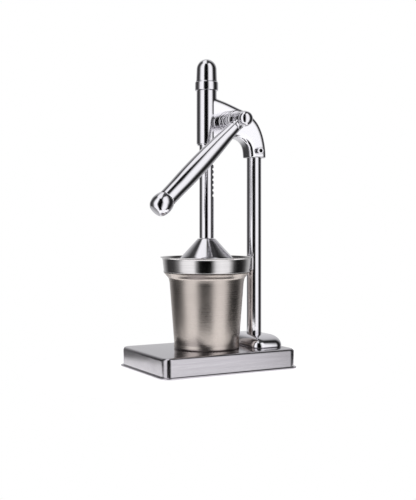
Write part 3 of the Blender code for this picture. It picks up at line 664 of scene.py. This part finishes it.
def lever_pieces():
    s = sizes()
    hole, spigot = 5.3 * MM, 5 * MM
    ferrule_start, tube_start, knob_start, end = 10.2 * MM, 14.2 * MM, 134 * MM, 155 * MM
    neck_root, neck_end, spigot_end = 6 * MM, ferrule_start - GAP, tube_start + 14 * MM
    hub = turned("lever_hub_skin", soften([
        (hole, -HUB_HALF), (s.hub, -HUB_HALF), (s.hub, HUB_HALF), (hole, HUB_HALF)], 0.9 * MM),
        HUB_CENTRE, FRONT_TO_BACK)
    neck = turned("neck", soften([
        (0, neck_root), (6.6 * MM, neck_root), (6 * MM, neck_end), (spigot, neck_end),
        (spigot, spigot_end), (0, spigot_end)], 0.3 * MM), HUB_CENTRE, LEVER_WAY, SMALL)
    combine(hub, [neck], 'UNION')
    combine(hub, [rod("shaft_hole", hole, -FAR / 4, FAR / 4, HUB_CENTRE, FRONT_TO_BACK)],
            'DIFFERENCE')
    smooth(hub)
    fit(hub, "lever", "polished_chrome", chrome(), "lever_hub")

    face = high("hub_cap_nut").y - HUB_CENTRE.y
    tip = low("hub_cap_nut").y - HUB_CENTRE.y
    radius = width("hub_cap_nut") / 2
    shoulder, thread, thread_end = face - 1.2 * MM, 3.8 * MM, face - 5.4 * MM
    dome = [(0, thread_end), (thread, thread_end), (thread, face), (radius - 0.3 * MM, face),
            (radius, face - 0.3 * MM)]
    dome += [(radius * cosine, shoulder + (tip - shoulder) * sine)
             for sine, cosine in quarter_turn(16)]
    nut = turned("hub_cap_nut_skin", dome, HUB_CENTRE, FRONT_TO_BACK)
    fit(nut, "lever", "polished_chrome", chrome(), "hub_cap_nut")

    inside, collar, collar_end = spigot + GAP, 7 * MM, tube_start - GAP
    ferrule = turned("lever_ferrule_skin", soften([
        (inside, ferrule_start), (collar, ferrule_start), (collar, collar_end),
        (inside, collar_end)], 0.8 * MM), HUB_CENTRE, LEVER_WAY)
    fit(ferrule, "lever", "polished_chrome", chrome(), "lever_ferrule")

    grip_end, wall = knob_start - GAP, 1.3 * MM
    swell, hollow = s.grip_belly - s.grip_near, s.grip_belly - wall - 0.2 * MM
    outside = curve_through([
        (s.grip_near, tube_start + 0.5 * MM), (s.grip_near + swell * 0.22, tube_start + 14 * MM),
        (s.grip_near + swell * 0.43, tube_start + 24 * MM),
        (s.grip_near + swell * 0.7, tube_start + 38 * MM),
        (s.grip_near + swell * 0.92, tube_start + 54 * MM),
        (s.grip_belly, tube_start + 70 * MM), (s.grip_belly - 0.1 * MM, tube_start + 88 * MM),
        (s.grip_belly * 0.3 + s.grip_far * 0.7, tube_start + 102 * MM),
        (s.grip_far, grip_end - 0.3 * MM)], 5)
    tube = turned("lever_tube_skin", [
        (inside, tube_start), (s.grip_near - 0.4 * MM, tube_start), *outside,
        (s.grip_far - 0.3 * MM, grip_end), (s.grip_far - wall, grip_end),
        (hollow, tube_start + 91 * MM), (hollow, tube_start + 69 * MM),
        (s.grip_near + 0.4 * MM, tube_start + 38 * MM), (inside, spigot_end + MM)],
        HUB_CENTRE, LEVER_WAY, FINE)
    fit(tube, "lever", "polished_chrome", chrome(), "lever_tube")

    far, plug, plug_end = s.grip_far, s.grip_far - wall - 0.6 * MM, knob_start - 12 * MM
    outside = curve_through([
        (far, knob_start + 0.5 * MM), (far * 0.6 + s.knob * 0.4, knob_start + 2.5 * MM),
        (far * 0.2 + s.knob * 0.8, knob_start + 5.5 * MM), (s.knob, knob_start + 8.8 * MM),
        (s.knob, knob_start + 11.5 * MM), (s.knob - 0.7 * MM, knob_start + 15 * MM),
        (s.knob - 2 * MM, knob_start + 18.2 * MM), (s.knob - 4.3 * MM, end - 0.4 * MM),
        (s.knob - 5.2 * MM, end)], 5)
    knob = turned("lever_knob_skin", [
        (0, plug_end), (plug - MM, plug_end), (plug - 0.4 * MM, knob_start),
        (far - 0.7 * MM, knob_start), *outside, (0, end)], HUB_CENTRE, LEVER_WAY, FINE)
    fit(knob, "lever", "polished_chrome", chrome(), "lever_knob")


def rod_pieces():
    s = sizes()
    bottom, top = low("rack_rod").z, high("rack_rod").z
    seat, peak = low("rod_cap").z, high("rod_cap").z
    shoulder, stud = seat + 1.7 * MM, 6 * MM
    bore, bore_end, chamfer = 2.9 * MM, bottom + 16 * MM, 0.4 * MM
    rack = turned("rack_rod_skin", [
        (0, bore_end), (bore, bore_end), (bore, bottom), (s.rod - chamfer, bottom),
        (s.rod, bottom + chamfer), (s.rod, shoulder - chamfer), (s.rod - chamfer, shoulder),
        (stud, shoulder), (stud, top), (0, top)], ROD_AXIS)
    module, teeth, slope = 2 * MM, 14, math.tan(math.radians(20))
    pitch = module * math.pi
    line = PINION_AXIS.x - module * teeth / 2 - ROD_AXIS.x
    deep, shallow = line - 2.3 * MM, s.rod + 2 * MM
    space = pitch / 2 + 0.15 * MM
    narrow = space / 2 - (line - deep) * slope
    wide = space / 2 + (shallow - line) * slope
    gaps, first, last = bmesh.new(), -14, 1
    for k in range(first, last + 1):
        z = PINION_AXIS.z + k * pitch
        outline = [(deep, z - narrow), (shallow, z - wide), (shallow, z + wide),
                   (deep, z + narrow)]
        sides = [[gaps.verts.new((x, y, height)) for x, height in outline]
                 for y in (-s.rod - MM, s.rod + MM)]
        bridge(gaps, *sides)
        gaps.faces.new(sides[0])
        gaps.faces.new(sides[1])
    tips = bmesh.new()
    bmesh.ops.create_cube(tips, size=1)
    block, tip_line = 20 * MM, line + 1.5 * MM
    bmesh.ops.scale(tips, vec=(block, block, (last - first + 1) * pitch), verts=tips.verts)
    bmesh.ops.translate(tips, verts=tips.verts, vec=(
        tip_line + block / 2, 0, PINION_AXIS.z + (first + last) / 2 * pitch))
    combine(rack, [new_object("tooth_gaps", gaps, origin=ROD_AXIS),
                   new_object("tooth_tips", tips, origin=ROD_AXIS)], 'DIFFERENCE')
    smooth(rack)
    fit(rack, "press", "polished_chrome", chrome(), "rack_rod")

    band_top, hole = seat + 9.9 * MM, s.rod + GAP
    dome_r, waist, spring = s.cap - 0.9 * MM, s.cap - 1.9 * MM, peak - 12.5 * MM
    side = soften([(0, shoulder + GAP), (hole, shoulder + GAP), (hole, seat), (s.cap, seat),
                   (s.cap, band_top - 0.2 * MM), (dome_r, band_top + 0.4 * MM),
                   (dome_r - 0.1 * MM, band_top + 2 * MM)], 0.5 * MM)
    dome = [(waist * cosine, spring + (peak - spring) * sine)
            for sine, cosine in quarter_turn(20)]
    cap = turned("rod_cap_skin", side + dome, ROD_AXIS, sides=FINE)
    combine(cap, [rod("thread_room", stud + GAP, seat - 10 * MM, top + MM, ROD_AXIS)],
            'DIFFERENCE')
    smooth(cap)
    fit(cap, "press", "polished_chrome", chrome(), "rod_cap")


def bell_piece():
    s = sizes()
    bottom, top = low("press_bell").z, high("press_bell").z
    grow, hole = s.bell - 38.8 * MM, 3.2 * MM
    outside = curve_through([(r * MM, bottom + h * MM) for r, h in (
        (12.4, 35), (21.4, 25.1), (30.4, 15.2))], 3)
    rim = [(r * MM + grow, bottom + h * MM) for r, h in (
        (34.2, 9.2), (37.6, 2.9), (38.8, 1.6), (38.8, 0), (37.4, 0), (36.4, 1.8))]
    inside = [(28.8 * MM, bottom + 14.4 * MM), (11.4 * MM, bottom + 33.6 * MM),
              (hole, bottom + 33.6 * MM)]
    outline = [(hole, top), (10.6 * MM, top), (11.5 * MM, top - 1.2 * MM), *outside, *rim,
               *inside]
    bell = turned("press_bell_skin", soften(outline, 0.9 * MM), ROD_AXIS, sides=FINE)
    fit(bell, "press", "polished_chrome", chrome(), "press_bell")


def cup_piece():
    s = sizes()
    floor, rim = low("juice_cup").z, high("juice_cup").z
    foot, mouth, middle_height = s.cup_foot - 38.8 * MM, s.cup_rim - 51.6 * MM, 40
    under = [(r * MM, floor + h * MM) for r, h in ((0, 2), (36.2, 2), (36.9, 0))]
    outside = [(r * MM + (foot if h < middle_height else mouth), floor + h * MM)
               for r, h in ((38.4, 0), (39.4, 1.4), (39.2, 3.6), (38.8, 5), (44.4, 78.2),
                            (45.6, 83.7), (48.4, 86.5), (50.6, 89.5))]
    lip = [(s.cup_rim, rim - 0.5 * MM), (s.cup_rim - 0.8 * MM, rim), (s.cup_rim - 2 * MM, rim)]
    inside = [(r * MM, floor + h * MM) for r, h in (
        (47.5, 87.3), (44.6, 84.3), (43.4, 78.3), (37.8, 5), (36.2, 3.2), (0, 3.2))]
    outline = under + outside + lip + inside
    cup = turned("juice_cup_skin", soften(outline, 1.6 * MM, 6), ROD_AXIS, sides=FINE)
    fit(cup, "cup", "brushed_stainless", cup_brushed(), "juice_cup")


def strainer_pieces():
    s = sizes()
    grow = s.bowl_lip - 55.6 * MM
    seat, lip = 114.9, high("strainer_bowl").z / MM
    band = [(49, seat), (51.3, seat), (52, seat + 0.8), (51.4, seat + 1.7), (52.8, 129.8),
            (53.4, 131.4), (54.4, 132.2), (55.6, 132.4), (55.6, lip), (53.6, lip),
            (51.9, 130.4), (50.5, seat + 2.2), (50, seat + 1)]
    floor = [(47.4, seat + 1), (46.2, 111.6), (33, 109.6), (29.4, 108.2), (29.4, 107.2),
             (33, 108.4), (47, 110.5)]
    points = [(r * MM + (grow if z > 116 else 0), z * MM) for r, z in
              band + floor + [(48.4, seat - 0.4)]]
    bowl = turned("strainer_bowl_skin", soften(points, 0.8 * MM), ROD_AXIS, sides=FINE)
    fit(bowl, "strainer", "brushed_stainless", bowl_bright(), "strainer_bowl")

    cone = turned("strainer_cone_skin", soften([(r * MM, z * MM) for r, z in (
        (34, 110.4), (34, 111.4), (29, 110.6), (27.6, 112), (19, 126), (10.4, 138.6), (6, 142),
        (0, 143.4), (0, 142.4), (5.4, 141), (9.4, 138), (18, 125.5), (26.4, 111.6),
        (28, 109.3))], 1.2 * MM), ROD_AXIS)
    slant = math.atan2(14, 8.6)            # of the cone's wall
    holes, count, hole_radius, half_depth = [], 9, 1.5 * MM, 3 * MM
    for row, (radius, height) in enumerate(((24.2, 117.6), (18, 127.4))):
        for i in range(count):
            a = 2 * math.pi * (i + row / 2) / count
            out = Vector((math.cos(a), math.sin(a), 0))
            way = out * math.sin(slant) + UP * math.cos(slant)
            spot = ROD_AXIS + out * radius * MM + UP * height * MM
            holes.append(rod(f"juice_hole_{row}_{i}", hole_radius, -half_depth, half_depth,
                             spot, way, 16))
    combine(cone, holes, 'DIFFERENCE')
    smooth(cone)
    fit(cone, "strainer", "brushed_stainless", bowl_bright(), "strainer_cone")


# Setting

FLOOR_RADIUS, FLOOR_GLOW = 0.21, 0.7
CEILING_SUN, CEILING_SPREAD = 0.35, math.radians(70)
CAMERA_PLACE = Vector((middle("base_shell").x - 0.52066, middle("base_shell").y - 0.96085,
                       0.1736))
CAMERA_TURN = math.radians(29.35)          # from +Y towards +X
CAMERA_LENS, CAMERA_SHIFT = 65.5, (-0.0287, -0.054)
TO_CAMERA = Vector((-math.sin(CAMERA_TURN), -math.cos(CAMERA_TURN), 0))
TO_THE_RIGHT = Vector((math.cos(CAMERA_TURN), -math.sin(CAMERA_TURN), 0))
SOFT_BOXES = (                             # degrees to the viewer's right, brightness
    (-180, 0.7), (-154, 0.6), (-138, 0.3), (-122, 0.05), (-95, 0.06), (-80, 0.22), (-65, 1.1),
    (-33, 1.25), (-26, 0.25), (-18, 0.0), (13, 0.0), (19, 0.35), (27, 1.05), (40, 1.2),
    (62, 1.1), (69, 0.6), (78, 0.08), (90, 0.01), (108, 0.02), (122, 0.1), (136, 0.4),
    (154, 0.6), (180, 0.7))


def studio_world():
    """Two upright soft boxes either side of the viewer, dark flags between and beside them,
    a ceiling that is light on the left only and a white wall behind the press."""
    world = bpy.data.worlds.new("studio")
    bpy.context.scene.world = world
    world.use_nodes = True
    nodes, links = world.node_tree.nodes, world.node_tree.links
    nodes.clear()

    def add(kind, **settings):
        node = nodes.new(kind)
        for key, value in settings.items():
            setattr(node, key, value)
        return node

    def ramp(source, stops):
        node = add("ShaderNodeValToRGB")
        elements = node.color_ramp.elements
        while len(elements) < len(stops):
            elements.new(0.5)
        for element, (position, grey) in zip(elements, stops):
            element.position = position
            element.color = (grey, grey, grey * 1.015, 1)
        links.new(source, node.inputs["Fac"])
        return node.outputs["Color"]

    def along(direction):
        node = add("ShaderNodeVectorMath", operation='DOT_PRODUCT')
        node.inputs[1].default_value = direction
        links.new(way, node.inputs[0])
        return node.outputs["Value"]

    def shifted(source, scale):
        node = add("ShaderNodeMath", operation='MULTIPLY_ADD')
        node.inputs[1].default_value, node.inputs[2].default_value = scale, 0.5
        links.new(source, node.inputs[0])
        return node.outputs[0]

    way = add("ShaderNodeTexCoord").outputs["Generated"]
    sideways = along(TO_THE_RIGHT)
    angle = add("ShaderNodeMath", operation='ARCTAN2')
    links.new(sideways, angle.inputs[0])
    links.new(along(TO_CAMERA), angle.inputs[1])
    around = ramp(shifted(angle.outputs[0], 0.5 / math.pi), [
        (0.5 + d / 360, grey) for d, grey in SOFT_BOXES])

    parts = add("ShaderNodeSeparateXYZ")
    links.new(way, parts.inputs[0])
    above = ramp(parts.outputs["Z"], [(0.0, 0.0), (0.85, 0.0), (0.91, 1.0), (1.0, 1.0)])
    mix = add("ShaderNodeMixRGB")
    links.new(above, mix.inputs["Fac"])
    links.new(around, mix.inputs[1])
    ceiling = ramp(shifted(sideways, 1), [(0.0, 1.15), (0.47, 1.1), (0.52, 0.08), (1.0, 0.04)])
    links.new(ceiling, mix.inputs[2])

    seen = add("ShaderNodeLightPath")
    backdrop = add("ShaderNodeMixRGB")
    links.new(seen.outputs["Is Camera Ray"], backdrop.inputs["Fac"])
    links.new(mix.outputs[0], backdrop.inputs[1])
    backdrop.inputs[2].default_value = (1, 1, 1, 1)
    background = add("ShaderNodeBackground")
    links.new(backdrop.outputs[0], background.inputs["Color"])
    output = add("ShaderNodeOutputWorld")
    links.new(background.outputs[0], output.inputs["Surface"])


def pale_floor():
    bm = bmesh.new()
    bmesh.ops.create_circle(bm, cap_ends=True, segments=ROUND, radius=FLOOR_RADIUS)
    floor = new_object("floor", bm)
    t = Tree("pale_floor")
    space = t.stretched((1, 1, 1))
    cloud = t.noise(space, 3, 3)
    base = colours().floor
    t.tint(cloud, darker(base, 0.985), base)
    t.join(t.spread(t.noise(space, 60, 3), 0.55, 0.7), t.shader.inputs["Roughness"])
    t.shader.inputs["Emission Color"].default_value = (1, 1, 1, 1)
    t.shader.inputs["Emission Strength"].default_value = FLOOR_GLOW
    floor.data.materials.append(t.mat)


def stage_pieces():
    studio_world()
    pale_floor()
    lamp = bpy.data.lights.new("ceiling_light", 'SUN')
    lamp.energy, lamp.angle = CEILING_SUN, CEILING_SPREAD
    sun = bpy.data.objects.new("ceiling_light", lamp)
    sun.rotation_euler = (math.radians(14), math.radians(-10), 0)
    sun.visible_glossy = False
    bpy.context.scene.collection.objects.link(sun)

    camera = bpy.data.cameras.new("view")
    camera.lens = CAMERA_LENS
    camera.shift_x, camera.shift_y = CAMERA_SHIFT
    eye = bpy.data.objects.new("view", camera)
    eye.location = CAMERA_PLACE
    eye.rotation_euler = (math.pi / 2, 0, -CAMERA_TURN)
    bpy.context.scene.collection.objects.link(eye)
    bpy.context.scene.camera = eye
    bpy.context.scene.view_settings.view_transform = 'Standard'
    bpy.context.scene.view_settings.look = 'None'


# Operators

class BuildStep:
    bl_options = {'REGISTER', 'UNDO'}

    def execute(self, context):
        self.build()
        return {'FINISHED'}


class CITRUS_OT_base(BuildStep, bpy.types.Operator):
    """Build the pressed steel base"""
    bl_idname = "citrus.base"
    bl_label = "Base"

    def build(self):
        base_piece()


class CITRUS_OT_column(BuildStep, bpy.types.Operator):
    """Build the column and the saddle it stands in"""
    bl_idname = "citrus.column"
    bl_label = "Column"

    def build(self):
        column_pieces()


class CITRUS_OT_head(BuildStep, bpy.types.Operator):
    """Build the cast head with its sleeve, barrel and gear cover"""
    bl_idname = "citrus.head"
    bl_label = "Head"

    def build(self):
        head_pieces()


class CITRUS_OT_fasteners(BuildStep, bpy.types.Operator):
    """Build the screws and finish the inner steel, brass and rubber pieces"""
    bl_idname = "citrus.fasteners"
    bl_label = "Fasteners and inner pieces"

    def build(self):
        fastener_pieces()


class CITRUS_OT_lever(BuildStep, bpy.types.Operator):
    """Build the lever with its hub, cap nut, ferrule and knob"""
    bl_idname = "citrus.lever"
    bl_label = "Lever"

    def build(self):
        lever_pieces()


class CITRUS_OT_rod(BuildStep, bpy.types.Operator):
    """Build the toothed rod and the cap on top of it"""
    bl_idname = "citrus.rod"
    bl_label = "Toothed rod"

    def build(self):
        rod_pieces()


class CITRUS_OT_bell(BuildStep, bpy.types.Operator):
    """Build the bell that presses the fruit"""
    bl_idname = "citrus.bell"
    bl_label = "Bell"

    def build(self):
        bell_piece()


class CITRUS_OT_cup(BuildStep, bpy.types.Operator):
    """Build the juice cup"""
    bl_idname = "citrus.cup"
    bl_label = "Juice cup"

    def build(self):
        cup_piece()


class CITRUS_OT_strainer(BuildStep, bpy.types.Operator):
    """Build the strainer bowl and its cone"""
    bl_idname = "citrus.strainer"
    bl_label = "Strainer"

    def build(self):
        strainer_pieces()


class CITRUS_OT_stage(BuildStep, bpy.types.Operator):
    """Set up the floor, the light and the camera"""
    bl_idname = "citrus.stage"
    bl_label = "Stage"

    def build(self):
        stage_pieces()


OPERATORS = (CITRUS_OT_base, CITRUS_OT_column, CITRUS_OT_head, CITRUS_OT_fasteners,
             CITRUS_OT_lever, CITRUS_OT_rod, CITRUS_OT_bell, CITRUS_OT_cup,
             CITRUS_OT_strainer, CITRUS_OT_stage)


class CITRUS_PT_panel(bpy.types.Panel):
    """Lists the sizes, the colours and the building steps"""
    bl_idname = "CITRUS_PT_panel"
    bl_label = "Hand Citrus Press"
    bl_space_type = 'VIEW_3D'
    bl_region_type = 'UI'
    bl_category = "Press"

    def draw(self, context):
        layout = self.layout
        for operator in OPERATORS:
            layout.operator(operator.bl_idname)
        for group in (context.scene.press_sizes, context.scene.press_colours):
            box = layout.box()
            for name in group.__annotations__:
                box.prop(group, name)


CLASSES = (PressSizes, PressColours, *OPERATORS, CITRUS_PT_panel)


def register():
    for cls in CLASSES:
        bpy.utils.register_class(cls)
    bpy.types.Scene.press_sizes = PointerProperty(type=PressSizes)
    bpy.types.Scene.press_colours = PointerProperty(type=PressColours)


def unregister():
    del bpy.types.Scene.press_colours
    del bpy.types.Scene.press_sizes
    for cls in reversed(CLASSES):
        bpy.utils.unregister_class(cls)


def main():
    register()
    bpy.ops.citrus.base()
    bpy.ops.citrus.column()
    bpy.ops.citrus.head()
    bpy.ops.citrus.fasteners()
    bpy.ops.citrus.lever()
    bpy.ops.citrus.rod()
    bpy.ops.citrus.bell()
    bpy.ops.citrus.cup()
    bpy.ops.citrus.strainer()
    bpy.ops.citrus.stage()


if __name__ == "__main__":
    main()
